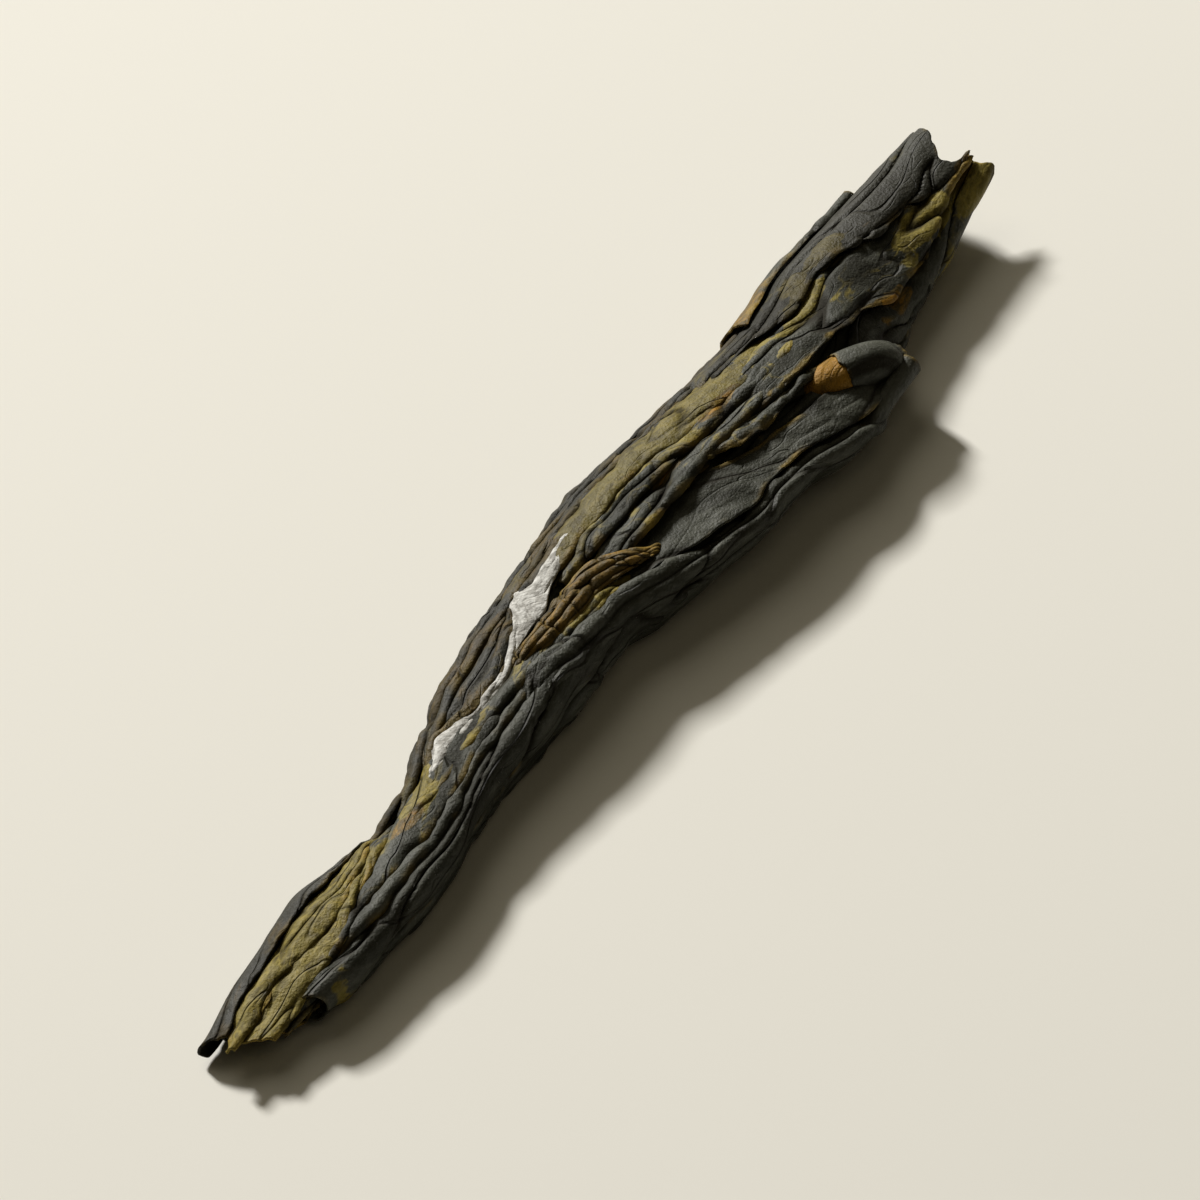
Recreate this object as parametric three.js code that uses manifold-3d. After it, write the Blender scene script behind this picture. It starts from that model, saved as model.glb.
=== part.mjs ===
// A strand of dried wakame: one long frond of kelp that dried gathered into a bundle of lengthwise folds.
// Millimetres. +X runs from the sheared foot to the ragged tip, +Y to the bundle's left, +Z up from the
// surface that the strand lies on. The origin is at the middle of the underside.
// The bundle is a core with folds fused to it. Each fold lies on the bundle's skin between two long creases.
import * as THREE from "three";
import { mergeVertices } from "three/addons/utils/BufferGeometryUtils.js";
import Module from "manifold-3d";

const wasm = await Module();
wasm.setup();

// ---- Driving sizes ----

const strandLength = 165; // from the foot to the end of the longest fold
const stationStep = 5.3; // between two sections of a fold
const coreShare = 0.8; // the core's width and height, as a share of the bundle's
const coreLift = 0.4; // how far the core stays off the surface, which only the lowest folds touch
const leftBase = 2.2; // height of the left edge
const underside = 0.05; // height of the skin's underside
const footShear = 0.72; // how far the foot's cut runs along the strand for each millimetre across it
const footShearReach = 26; // the stretch of the foot that the slanting cut draws out
const endTaper = 9; // the stretch over which a fold dips into the bundle at its end
const hollowDepth = 12; // how far the mouth of a rolled fold goes in
const hollowWall = 0.55; // the leaf left around that mouth
const smallestGap = 0.001; // corners nearer than this are one corner

// The bundle's outline as it lies: [distance from the foot, left edge, right edge, crown height, height of
// the right edge]
const outline = [
  [0, 1.3, -7.4, 4.6, 1.8],
  [10, 2.7, -8.5, 5.4, 2.0],
  [22, 4.0, -8.5, 6.0, 2.4],
  [29, 2.4, -8.9, 6.0, 2.4],
  [35, 1.1, -8.5, 6.0, 2.4],
  [42, 1.9, -7.2, 6.2, 2.4],
  [50, 4.8, -6.5, 6.7, 2.6],
  [57, 6.9, -6.8, 7.3, 2.6],
  [66, 8.3, -6.6, 7.9, 2.8],
  [76, 9.2, -5.9, 8.5, 3.2],
  [82, 10.1, -8.2, 8.8, 4.0],
  [90, 10.6, -9.9, 9.1, 4.8],
  [98, 10.1, -11.4, 9.3, 5.0],
  [107, 8.9, -11.4, 9.4, 5.0],
  [114, 8.5, -13.2, 9.5, 4.8],
  [120, 8.2, -13.4, 9.5, 4.4],
  [126, 8.4, -12.2, 9.5, 4.0],
  [133, 8.8, -8.5, 9.4, 3.4],
  [138, 8.6, -6.9, 9.3, 3.5],
  [146, 8.3, -6.0, 9.2, 4.0],
  [158, 8.3, -4.4, 9.0, 5.4],
  [167, 7.6, -3.4, 8.7, 6.2],
];

// How square the bundle's section is on its left side, and on its right side, which has a full shoulder as
// far as the middle and slopes down at the tip: [distance from the foot, power]
const leftPower = 3;
const rightPower = [
  [0, 6],
  [72, 7],
  [92, 3],
  [112, 3],
  [126, 1.6],
  [136, 0.8],
  [160, 0.8],
];

// The long creases that part the folds: [distance from the foot, place across]. Across is 1 at the bundle's
// left edge and -1 at its right edge. Beyond those it goes on round the underside.
const creases = {
  left: [[0, 0.4], [14, 0.6], [23, 0.44], [34, 0.9]],
  oliveEdge: [[2, -0.62], [17, -0.48], [25, -0.09], [36, 0.7]],
  grey: [[10, -0.5], [33, -0.28], [56, -0.42]],
  roll: [[5, -0.4], [23, -0.78], [31, -0.6], [57, -0.6], [76, -0.76]],
  ridge: [[34, 0.35], [50, -0.25], [72, -0.5]],
  bloomLeft: [[41, 0.3], [49, 0.5], [60, 0], [71, 0.6], [84, 0.46]],
  bloomRight: [[41, 0.28], [51, 0.02], [71, 0.02], [84, 0.44]],
  rim: [[56, -0.2], [74, -0.75], [91, -0.85], [108, -0.88], [131, -0.95]],
  brownTop: [[60, -0.1], [76, -0.1], [88, -0.6]],
  oliveLeft: [[74, 0.42], [97, 0.56], [107, 0.62], [122, 0.58]],
  oliveRight: [[74, 0.13], [97, 0.36], [122, 0.24]],
  deepGap: [[76, -0.28], [101, -0.13], [122, -0.14]],
  hollowTop: [[80, -0.35], [94, -0.08], [106, -0.46], [126, -0.55]],
  ledgeEdge: [[95, -0.14], [108, -0.39], [120, -0.3]],
  panel: [[108, 0.56], [120, 0.56], [137, 0.24], [149, -0.14], [161, -0.46]],
  overhang: [[106, -0.17], [125, -0.21], [137, -0.72], [162, -0.58]],
  flapEdge: [[120, 0.72], [131, 0.84], [149, 0.84]],
};

// The folds that show. left and right are the creases that a fold lies between, or a place across. high is
// half the fold's thickness and raise lifts it off the skin. open names the ends that are broken off instead
// of dipping into the bundle, ragged is how unevenly, and mouth names the end at which the fold is hollow.
const folds = [
  {
    name: "foot left edge", left: 1.25, right: creases.left,
    from: -0.4, to: 46, high: 0.8, open: "foot",
  },
  {
    name: "olive panel", left: creases.left, right: creases.oliveEdge,
    from: -2, to: 37, high: 0.6, open: "foot",
  },
  { name: "upper grey ridge", left: creases.oliveEdge, right: creases.grey, from: 8, to: 60, high: 0.8 },
  { name: "lower grey ridge", left: creases.grey, right: creases.roll, from: 12, to: 70, high: 0.8 },
  {
    name: "right roll", left: creases.roll, right: -1.12,
    from: 4, to: 76, high: 1.9, open: "foot", mouth: "foot",
  },
  { name: "outer left plies", left: 1.3, right: 0.86, from: 30, to: 124, high: 1 },
  { name: "inner left plies", left: 0.86, right: creases.oliveLeft, from: 80, to: 122, high: 0.8 },
  { name: "bloom ply", left: 0.86, right: creases.bloomLeft, from: 42, to: 90, high: 0.8 },
  { name: "bloom seam", left: creases.bloomLeft, right: creases.bloomRight, from: 41, to: 86, high: 0.5 },
  { name: "dark ridge", left: creases.bloomRight, right: creases.ridge, from: 32, to: 74, high: 0.8 },
  { name: "long ridge", left: creases.ridge, right: creases.rim, from: 38, to: 84, high: 0.9 },
  { name: "brown pucker", left: creases.brownTop, right: -0.62, from: 60, to: 87, high: 0.8, raise: 0.3 },
  {
    name: "olive crest", left: creases.oliveLeft, right: creases.oliveRight,
    from: 74, to: 122, high: 0.8, raise: 0.2,
  },
  {
    name: "dark plies", left: creases.oliveRight, right: creases.deepGap,
    from: 76, to: 126, high: 0.9, raise: 0.1,
  },
  {
    name: "hollow panel", left: creases.hollowTop, right: creases.rim,
    from: 79, to: 126, high: 0.6, raise: -1.6,
  },
  {
    name: "ledge", left: creases.deepGap, right: creases.ledgeEdge,
    from: 94, to: 120, high: 0.6, raise: -0.3,
  },
  { name: "rim", left: creases.rim, right: -1.06, from: 56, to: 126, high: 1.1, raise: -0.5 },
  { name: "right flank", left: -0.95, right: -1.4, from: 7, to: 134, high: 0.9 },
  {
    name: "tip panel", left: 1.2, right: creases.panel,
    from: 106, to: 161.5, high: 1.2, open: "tip", ragged: 1.2, mouth: "tip",
  },
  {
    name: "middle fold", left: creases.panel, right: creases.overhang,
    from: 108, to: 162, high: 0.8, open: "tip", ragged: 0.8,
  },
  {
    name: "tip flank", left: creases.overhang, right: -1.25,
    from: 122, to: 163.5, high: 1.1, open: "tip", ragged: 1.2, mouth: "tip",
  },
  {
    name: "flap", left: 1.1, right: creases.flapEdge,
    from: 122, to: 149, high: 0.7, raise: 0.9, open: "both",
  },
  { name: "under left", left: 1.75, right: 1.2, from: 12, to: 157, high: 0.8, raise: 0.3 },
  { name: "under right", left: -1.2, right: -1.75, from: 16, to: 157, high: 0.8, raise: 0.3 },
];

// The rolled knob that pokes out of the hollow panel, and the curled end of the rim beside it
const knob = { from: [116.6, -5.3, 7.5], to: [129, -10.6, 6.1], radius: 2.5 };
const curl = { from: [116.5, -13.1, 5.0], to: [128.6, -12, 5.6], radius: 1.3 };

// The wide flat mouth under the panel at the foot: [distance from the foot, sideways place, height]
const footMouth = { at: [-3, -2.4, 2.3], halfWidth: 2.6, halfHeight: 1.3, depth: 15 };

// ---- Helpers ----

const lerp = (a, b, t) => a + (b - a) * t;
const clamp = (v, low, high) => Math.min(high, Math.max(low, v));
const smooth = (t) => t * t * (3 - 2 * t);

// The value at x of a list of [x, value...], eased from key to key, or the plain number given instead
function along(keys, x, column = 1) {
  if (typeof keys === "number") return keys;
  if (x <= keys[0][0]) return keys[0][column];
  for (let i = 1; i < keys.length; i++) {
    const [before, after] = [keys[i - 1], keys[i]];
    if (x <= after[0]) {
      const t = (x - before[0]) / (after[0] - before[0]);
      return lerp(before[column], after[column], lerp(t, smooth(t), 0.7));
    }
  }
  return keys[keys.length - 1][column];
}

// A slow waver from -1 to 1 that differs from fold to fold
function waver(x, phase, period) {
  const a = (2 * Math.PI * x) / period;
  return 0.6 * Math.sin(a + phase * 2.4) + 0.4 * Math.sin(a * 2.3 + phase * 5.1);
}

// A closed body through rings of the same number of points, the first ring at the low end of X
function loft(rings) {
  const sides = rings[0].length;
  const points = rings.flat();
  const faces = [];
  for (let i = 0; i < rings.length - 1; i++)
    for (let j = 0; j < sides; j++) {
      const k = (j + 1) % sides;
      const [a, b, c, d] = [i * sides + j, i * sides + k, (i + 1) * sides + k, (i + 1) * sides + j];
      if ((i + j) % 2) faces.push(a, b, c, a, c, d);
      else faces.push(a, b, d, b, c, d);
    }
  for (const [ring, first] of [[0, 0], [rings.length - 1, (rings.length - 1) * sides]]) {
    const middle = rings[ring].reduce((sum, p) => sum.add(p), new THREE.Vector3()).divideScalar(sides);
    points.push(middle);
    for (let j = 0; j < sides; j++) {
      const [a, b] = [first + j, first + ((j + 1) % sides)];
      if (ring === 0) faces.push(points.length - 1, b, a);
      else faces.push(points.length - 1, a, b);
    }
  }
  const coordinates = points.flatMap((p) => p.toArray());
  return toSolid(
    new THREE.BufferGeometry()
      .setAttribute("position", new THREE.Float32BufferAttribute(coordinates, 3))
      .setIndex(faces),
  );
}

// A closed geometry as a solid that can be joined and cut
function toSolid(geometry) {
  const bare = geometry.clone();
  bare.deleteAttribute("normal");
  bare.deleteAttribute("uv");
  const merged = mergeVertices(bare, smallestGap);
  return new wasm.Manifold(
    new wasm.Mesh({
      numProp: 3,
      vertProperties: new Float32Array(merged.attributes.position.array),
      triVerts: new Uint32Array(merged.index.array),
    }),
  );
}

// A solid back as a geometry
function toGeometry(solid) {
  const mesh = solid.getMesh();
  const geometry = new THREE.BufferGeometry()
    .setAttribute("position", new THREE.BufferAttribute(new Float32Array(mesh.vertProperties), 3))
    .setIndex(new THREE.BufferAttribute(new Uint32Array(mesh.triVerts), 1));
  geometry.computeVertexNormals();
  return geometry;
}

// The point of the bundle's skin at x that lies so far across, in the YZ plane, and the way out from there
function skin(x, across) {
  const [left, right, crown, rightBase] = [1, 2, 3, 4].map((column) => along(outline, x, column));
  const beyond = Math.sign(across) * Math.max(0, Math.abs(across) - 1);
  const turn = Math.asin(clamp(across, -1, 1)) + (beyond * Math.PI) / 2;
  const place = (angle) => {
    const side = Math.sin(angle);
    const base = side > 0 ? leftBase : rightBase;
    const top = Math.abs(angle) <= Math.PI / 2 ? crown : underside;
    const power = side > 0 ? leftPower : along(rightPower, x);
    const arch = Math.sqrt(Math.max(0, 1 - Math.abs(side) ** power));
    return new THREE.Vector2(lerp(right, left, (side + 1) / 2), base + (top - base) * arch);
  };
  const way = place(turn + 0.03).sub(place(turn - 0.03)).normalize();
  return { point: place(turn), out: new THREE.Vector2(-way.y, way.x) };
}

// A ring in the YZ plane about (y, z): half width, half height, lean in radians, pleats that make it angular,
// and how far it strays along X
function ring(x, y, z, wide, high, lean, sides, pleat = 0, phase = 0, ragged = 0) {
  const points = [];
  for (let j = 0; j < sides; j++) {
    const angle = (2 * Math.PI * j) / sides;
    const pleats = Math.cos(4 * angle + phase + x * 0.06) + 0.5 * Math.cos(3 * angle - phase);
    const swell = 1 + pleat * pleats;
    const [a, b] = [wide * swell * Math.cos(angle), high * swell * Math.sin(angle)];
    points.push(
      new THREE.Vector3(
        x + ragged * Math.sin(3 * angle + phase * 3),
        y + a * Math.cos(lean) - b * Math.sin(lean),
        z + a * Math.sin(lean) + b * Math.cos(lean),
      ),
    );
  }
  return points;
}

// Draws the foot out along the slant of its cut
function slantFoot(p) {
  p.x += footShear * (0.5 - p.y) * (1 - smooth(clamp(p.x / footShearReach, 0, 1)));
  return p;
}

// ---- The pieces of the bundle ----

function coreBody() {
  const sides = 14;
  const rings = [];
  for (let x = 2; x <= strandLength - 7; x += stationStep) {
    const middle = (along(outline, x, 1) + along(outline, x, 2)) / 2;
    const points = [];
    for (let j = 0; j < sides; j++) {
      const { point } = skin(x, lerp(1.96, -1.96, (j + 0.5) / sides));
      const z = coreLift + (point.y - underside) * coreShare;
      points.push(new THREE.Vector3(x, lerp(middle, point.x, coreShare), z));
    }
    rings.push(points.map(slantFoot));
  }
  return loft(rings);
}

// The middle, half sizes and lean of a fold's section at x
function foldPlace(fold, x, phase) {
  const [left, right] = [along(fold.left, x), along(fold.right, x)].map(
    (across, side) => across + 0.025 * waver(x, phase + side, 40),
  );
  const [from, to] = [skin(x, left).point, skin(x, right).point];
  const { point, out } = skin(x, (left + right) / 2);
  const chord = from.clone().sub(to);
  const middle = from.clone().add(to).divideScalar(2);
  const bulge = point.clone().sub(middle).dot(out);
  const high = Math.max(fold.high, bulge * 1.1) * (1 + 0.1 * waver(x, phase + 4, 31));
  const centre = middle.addScaledVector(out, bulge + (fold.raise ?? 0) - high);
  return { centre, out, wide: chord.length() * 0.52, high, lean: Math.atan2(chord.y, chord.x) };
}

// One fold. Its ends dip into the bundle or are broken off.
function foldBody(fold, phase) {
  const count = Math.max(4, Math.round((fold.to - fold.from) / stationStep));
  const isOpen = (end) => fold.open === end || fold.open === "both";
  const rings = [];
  for (let i = 0; i <= count; i++) {
    const x = lerp(fold.from, fold.to, i / count);
    const { centre, out, wide, high, lean } = foldPlace(fold, x, phase);
    const fadeIn = isOpen("foot") ? 1 : Math.sqrt(clamp((x - fold.from) / endTaper, 0.05, 1));
    const fadeOut = isOpen("tip") ? 1 : Math.sqrt(clamp((fold.to - x) / endTaper, 0.05, 1));
    const fade = fadeIn * fadeOut;
    centre.addScaledVector(out, (fade - 1) * high * 0.9);
    const ragged = i === count ? (fold.ragged ?? 0) : 0;
    const section = ring(x, centre.x, centre.y, wide * fade, high * fade, lean, 8, 0.05, phase, ragged);
    rings.push(section.map(slantFoot));
  }
  return loft(rings);
}

// A short roll between two points
function rollBody({ from, to, radius }, phase) {
  const rings = [];
  const count = 6;
  for (let i = 0; i <= count; i++) {
    const t = i / count;
    const [x, y, z] = [0, 1, 2].map((axis) => lerp(from[axis], to[axis], t));
    const r = radius * Math.sqrt(Math.max(0.12, Math.sin(Math.PI * lerp(0.05, 0.95, t))));
    rings.push(ring(x, y, z, r, r, 0, 10, 0.04, phase));
  }
  return loft(rings);
}

// The hollow at the open end of a fold: the fold's own section less the leaf around it, narrower further in
function foldHollow(fold, phase) {
  const atFoot = fold.mouth === "foot";
  const rings = [];
  for (const depth of atFoot ? [-2, 3, 8, hollowDepth] : [hollowDepth, 8, 3, -3]) {
    const x = atFoot ? fold.from + depth : fold.to - depth;
    const { centre, wide, high, lean } = foldPlace(fold, x, phase);
    const shrink = 1 - 0.6 * clamp(depth / hollowDepth, 0, 1) ** 2;
    const [halfWide, halfHigh] = [(wide - hollowWall) * shrink, (high - hollowWall) * shrink];
    rings.push(ring(x, centre.x, centre.y, halfWide, halfHigh, lean, 8, 0.05, phase).map(slantFoot));
  }
  return loft(rings);
}

function footHollow({ at: [x, y, z], halfWidth, halfHeight, depth }) {
  const rings = [0, 0.35, 0.7, 1].map((share) => {
    const shrink = 1 - 0.7 * share * share;
    return ring(x + depth * share, y, z, halfWidth * shrink, halfHeight * shrink, 0, 8, 0.08).map(slantFoot);
  });
  return loft(rings);
}

// Everything below the surface that the strand lies on
function belowTable() {
  const box = new THREE.BoxGeometry(strandLength * 3, 100, 20);
  box.translate(0, 0, -10);
  return toSolid(box);
}

// The origin moved from the foot to the middle of the underside
function centred(geometry) {
  geometry.computeBoundingBox();
  const { min, max } = geometry.boundingBox;
  return geometry.translate(-(min.x + max.x) / 2, -(min.y + max.y) / 2, -min.z);
}

// The largest of the separate bodies, so that a loose scrap or a sealed hollow is dropped
function largest(solid) {
  return solid.decompose().reduce((best, body) => (body.volume() > best.volume() ? body : best));
}

function bundle() {
  let body = coreBody();
  folds.forEach((fold, i) => (body = body.add(foldBody(fold, i))));
  body = body.add(rollBody(knob, 2)).add(rollBody(curl, 5));
  folds.forEach((fold, i) => {
    if (fold.mouth) body = body.subtract(foldHollow(fold, i));
  });
  body = body.subtract(footHollow(footMouth));
  return body.subtract(belowTable());
}

const strand = new THREE.Mesh(
  toGeometry(largest(toSolid(centred(toGeometry(bundle()))))),
  new THREE.MeshStandardMaterial({ color: 0x34362f, roughness: 0.75, metalness: 0 }),
);
strand.name = "wakame_strand";

const wakame = new THREE.Group();
wakame.add(strand);

export default wakame;
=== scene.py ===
# %% [markdown]
# # A strand of dried wakame
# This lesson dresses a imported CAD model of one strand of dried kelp. The real thing is a single long
# frond that was hung up wet. As it dried it drew together into a bundle of lengthwise folds, as a
# curtain does when it is pulled to one side. The CAD solid gives the bundle's size and its main
# folds. Here the same folds are made again as what they are, thin wavy leaf, with creases, ragged
# ends and the colours of the dried frond.

# %% Load the fixed frame
import math

import bpy
from mathutils import Matrix, Vector


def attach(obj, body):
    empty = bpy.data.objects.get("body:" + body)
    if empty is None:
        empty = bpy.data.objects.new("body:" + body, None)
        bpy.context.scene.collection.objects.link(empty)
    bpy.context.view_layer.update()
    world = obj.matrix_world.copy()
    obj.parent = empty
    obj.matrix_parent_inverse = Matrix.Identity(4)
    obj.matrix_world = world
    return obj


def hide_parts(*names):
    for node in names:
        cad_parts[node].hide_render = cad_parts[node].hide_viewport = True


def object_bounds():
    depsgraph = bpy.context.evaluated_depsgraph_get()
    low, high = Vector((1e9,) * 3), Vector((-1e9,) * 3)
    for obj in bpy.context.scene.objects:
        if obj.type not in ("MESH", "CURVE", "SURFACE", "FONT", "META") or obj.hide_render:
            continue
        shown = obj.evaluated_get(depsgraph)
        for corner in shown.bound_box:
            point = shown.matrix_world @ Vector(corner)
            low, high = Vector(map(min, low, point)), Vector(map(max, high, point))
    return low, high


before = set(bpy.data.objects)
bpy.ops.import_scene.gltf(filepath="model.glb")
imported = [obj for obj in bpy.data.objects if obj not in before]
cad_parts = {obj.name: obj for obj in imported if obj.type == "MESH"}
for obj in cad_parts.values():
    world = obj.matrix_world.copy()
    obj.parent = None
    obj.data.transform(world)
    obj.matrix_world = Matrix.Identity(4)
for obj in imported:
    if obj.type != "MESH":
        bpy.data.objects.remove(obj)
cad_box = [list(corner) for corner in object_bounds()]
print("CAD box in metres", cad_box)

# %% [markdown]
# ## Where things are
# All places below are millimetres measured from the strand's foot, the end at the lower left, because
# that is how the folds are easiest to follow: x runs along the strand, y to its left, z up. The CAD
# model has its origin in the middle of the underside, so one vector moves everything there at the
# end.

# %% The strand's own measures
MM = 0.001
FOOT_OVERHANG = 0.92  # how far the sheared foot reaches past the zero of x
SIDE_SHIFT = -1.42  # where the middle of the box lies sideways
TO_FRAME = Vector((cad_box[0][0] + FOOT_OVERHANG * MM, -SIDE_SHIFT * MM, 0.0))
strand_length = (cad_box[1][0] - cad_box[0][0]) / MM
print(f"strand {strand_length:.1f} mm long, foot at {TO_FRAME.x / MM:.1f} mm")

# The outline: (distance from the foot, left edge, right edge, crown height, right edge's height)
OUTLINE = [
    (0, 1.3, -7.4, 3.5, 1.4), (10, 2.7, -8.5, 4.9, 1.9), (22, 4.0, -8.5, 6.0, 2.4),
    (29, 2.4, -8.9, 6.0, 2.4), (35, 1.1, -8.5, 6.0, 2.4), (42, 1.9, -7.2, 6.2, 2.4),
    (50, 4.8, -6.5, 6.7, 2.6), (57, 6.9, -6.8, 7.3, 2.6), (66, 8.3, -6.6, 7.9, 2.8),
    (76, 9.2, -5.9, 8.5, 3.2), (82, 10.1, -8.2, 8.8, 4.0), (90, 10.6, -9.9, 9.1, 4.8),
    (98, 10.1, -11.4, 9.3, 5.0), (107, 8.9, -11.4, 9.4, 5.0), (114, 8.5, -13.2, 9.5, 4.8),
    (120, 8.2, -13.4, 9.5, 4.4), (126, 8.4, -12.2, 9.5, 4.0), (133, 8.8, -8.5, 9.4, 3.4),
    (138, 8.6, -6.9, 9.3, 3.5), (146, 8.3, -6.0, 9.2, 4.0), (158, 8.3, -4.4, 9.0, 5.4),
    (167, 7.6, -3.4, 8.7, 6.2),
]
FOOT_SHEAR = 0.72  # how much further out the foot reaches for each millimetre to the left
FOOT_SHEAR_REACH = 26.0  # how far up the strand the slant fades away
END_TAPER = 9.0  # over what length a leaf's hidden end narrows and sinks


# %% Curves through a few keys
def smooth(t):
    t = min(1.0, max(0.0, t))
    return t * t * (3 - 2 * t)


def along(keys, x, column=1):
    """The value at x of a list of keys (x, value...), eased from key to key."""
    if x <= keys[0][0]:
        return keys[0][column]
    for before, after in zip(keys, keys[1:]):
        if x <= after[0]:
            t = (x - before[0]) / (after[0] - before[0])
            t += 0.7 * (smooth(t) - t)
            return before[column] + (after[column] - before[column]) * t
    return keys[-1][column]


def waver(x, phase, period):
    """A slow waver from -1 to 1 that differs from fold to fold."""
    turn = 2 * math.pi * x / period
    return 0.6 * math.sin(turn + phase * 2.4) + 0.4 * math.sin(turn * 2.3 + phase * 5.1)


# %% [markdown]
# ## Node trees written as sums
# Both the shapes and the materials below are node trees. A tree is far easier to read as a formula
# than as a list of links, so one small class wraps a socket and gives it +, -, * and so on. Each
# operator adds the node it needs. The same class serves geometry and shader trees, because they share
# their Math and texture nodes.

# %% A socket that can be added and multiplied
def open_socket(sockets, name):
    """The socket of that number, or the one of that name which is in use."""
    if isinstance(name, int):
        return sockets[name]
    return next(s for s in sockets if s.name == name and s.enabled)


class Field:
    """A socket in a node tree, with arithmetic."""

    def __init__(self, bench, socket):
        self.bench = bench
        self.socket = socket

    def math(self, operation, *others):
        return self.bench.math(operation, self, *others)

    def __add__(self, other):
        return self.math("ADD", other)

    def __radd__(self, other):
        return self.math("ADD", other)

    def __sub__(self, other):
        return self.math("SUBTRACT", other)

    def __rsub__(self, other):
        return self.bench.math("SUBTRACT", other, self)

    def __mul__(self, other):
        return self.math("MULTIPLY", other)

    def __rmul__(self, other):
        return self.math("MULTIPLY", other)

    def __truediv__(self, other):
        return self.math("DIVIDE", other)

    def __rtruediv__(self, other):
        return self.bench.math("DIVIDE", other, self)

    def __pow__(self, other):
        return self.math("POWER", other)

    def __neg__(self):
        return self.math("MULTIPLY", -1.0)

    def __abs__(self):
        return self.math("ABSOLUTE")


class Bench:
    """A node tree being built."""

    def __init__(self, tree):
        self.tree = tree

    def node(self, kind, settings=None, inputs=None, output=0):
        """Adds a node, sets its settings and then its sockets, and returns one output as a Field."""
        made = self.tree.nodes.new(kind)
        for name, value in (settings or {}).items():
            setattr(made, name, value)
        for name, value in (inputs or {}).items():
            socket = open_socket(made.inputs, name)
            if isinstance(value, Field):
                self.tree.links.new(value.socket, socket)
            else:
                socket.default_value = value
        return Field(self, open_socket(made.outputs, output))

    def math(self, operation, *values):
        return self.node("ShaderNodeMath", {"operation": operation}, dict(enumerate(values)))

    def other(self, field, name):
        """Another output of the node that a field comes from."""
        return Field(self, open_socket(field.socket.node.outputs, name))

    def least(self, *values):
        return self.math("MINIMUM", *values)

    def most(self, *values):
        return self.math("MAXIMUM", *values)

    def vector(self, x, y, z):
        return self.node("ShaderNodeCombineXYZ", inputs={0: x, 1: y, 2: z})

    def split(self, vector):
        first = self.node("ShaderNodeSeparateXYZ", inputs={0: vector})
        return first, self.other(first, "Y"), self.other(first, "Z")

    def vector_math(self, operation, *values):
        return self.node("ShaderNodeVectorMath", {"operation": operation}, dict(enumerate(values)))

    def scaled(self, vector, factor):
        return self.node("ShaderNodeVectorMath", {"operation": "SCALE"}, {0: vector, "Scale": factor})

    def ramp(self, value, low, high, start=0.0, end=1.0):
        """value eased from start at low to end at high, and held beyond them."""
        settings = {"interpolation_type": "SMOOTHSTEP"}
        inputs = {"Value": value, "From Min": low, "From Max": high, "To Min": start, "To Max": end}
        return self.node("ShaderNodeMapRange", settings, inputs)

    def noise(self, vector, scale=1.0, detail=2.0, roughness=0.5):
        inputs = {"Vector": vector, "Scale": scale, "Detail": detail, "Roughness": roughness}
        return self.node("ShaderNodeTexNoise", {"noise_dimensions": "3D"}, inputs, "Fac")

    def cells(self, vector, scale=1.0, feature="F1"):
        inputs = {"Vector": vector, "Scale": scale}
        return self.node("ShaderNodeTexVoronoi", {"feature": feature}, inputs, "Distance")


# %% [markdown]
# ## The bundle's skin
# Dried, the strand is a flat loaf in section, with the gathered leaf on its skin. Everything below is
# placed on that skin. turn is the angle round the section: 90 at the left edge, 0 at the crown, -90
# at the right edge, and past that on the underside. The power of an edge says how square the loaf is
# there. A high one keeps the crown's height nearly to the edge, and one under 1 lets the side slope
# down, as it does at the right of the tip.
#
# A line along the strand is given as how far across the bundle it runs, 1 at the left edge and -1 at
# the right one, because that is what can be read off a picture.

# %% A point of the skin
LEFT_BASE = 2.2  # height of the left edge, in millimetres
LEFT_POWER = 3.0  # how square the section is on its left side
RIGHT_POWER = [(0, 6.0), (72, 7.0), (92, 3.0), (112, 3.0), (126, 1.6), (136, 0.8), (160, 0.8)]
BASE_SHARE = 0.35  # the most of the crown's height that the left edge has
UNDERSIDE = 0.05


def skin(x, turn):
    """The (y, z) of the bundle's skin at x, turn degrees round from the crown."""
    left, right, crown, right_base = (along(OUTLINE, x, column) for column in (1, 2, 3, 4))
    across = math.sin(math.radians(turn))
    base = min(LEFT_BASE, BASE_SHARE * crown) if across > 0 else right_base
    power = LEFT_POWER if across > 0 else along(RIGHT_POWER, x)
    arch = math.sqrt(max(0.0, 1 - abs(across) ** power))
    rise = (crown - base) * arch if abs(turn) <= 90 else (UNDERSIDE - base) * arch
    return right + (left - right) * (across + 1) / 2, base + rise


def turn_at(across):
    """The turn that lies that far across. Past 1 and -1 it goes on round the underside."""
    inside = math.degrees(math.asin(min(1.0, max(-1.0, across))))
    beyond = max(0.0, abs(across) - 1) * 90
    return inside + math.copysign(beyond, across)


def skin_normal(x, turn):
    before, after = skin(x, turn - 1), skin(x, turn + 1)
    tangent = Vector((after[0] - before[0], after[1] - before[1]))
    tangent = tangent.normalized() if tangent.length > 1e-6 else Vector((1.0, 0.0))
    return Vector((-tangent.y, tangent.x))


# %% [markdown]
# ## One tree for every leaf
# Each lobe of the frond is a thin leaf. It could be sculpted, but hundreds of creases by hand are
# slow, and cloth simulation gives soft folds where dry leaf has sharp ones. Here a coarse sheet is
# laid where the leaf lies, and Geometry Nodes make it dry. They subdivide the sheet, pleat it along
# its length, let the pleats lean over, cut creases, crumple it into facets, frill its free edges,
# tear its ends and give it its thickness. The material reads what the tree stores: how near an edge a
# point is, how high on a crest, and where it lies in the leaf.

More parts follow.
